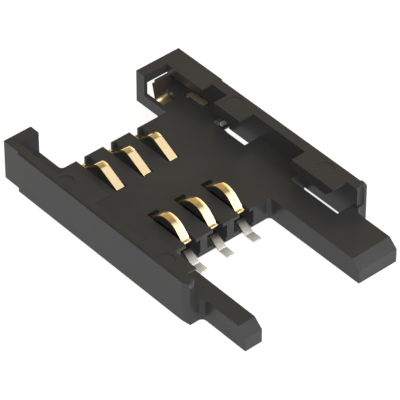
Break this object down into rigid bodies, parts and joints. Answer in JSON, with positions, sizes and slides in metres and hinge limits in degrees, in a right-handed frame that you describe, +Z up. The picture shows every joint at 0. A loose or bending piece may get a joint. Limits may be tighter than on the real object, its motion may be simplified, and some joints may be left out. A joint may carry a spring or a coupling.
{
  "type": "memory module socket",
  "caption": "Low open socket that holds a small chip card between two lipped rails over rows of sprung contacts.",
  "frame": {"origin": "under the middle of the housing, on the plane of the circuit board", "axes": "+X across to the rail over the switch, +Y towards the end where the card stops, +Z up from the board"},
  "size_m": [0.017, 0.0254, 0.0037],
  "materials": {
    "moulding": "fine matt moulded black",
    "gilt_strip": "thin gold plating on the springs, tin on the solder tails"
  },
  "bodies": {
    "root": {"housing": "moulding", "contact_back_1": "gilt_strip", "contact_back_2": "gilt_strip", "contact_back_3": "gilt_strip", "contact_front_1": "gilt_strip", "contact_front_2": "gilt_strip", "contact_front_3": "gilt_strip", "switch_blade": "gilt_strip", "switch_leaf": "gilt_strip"}
  },
  "joints": []
}
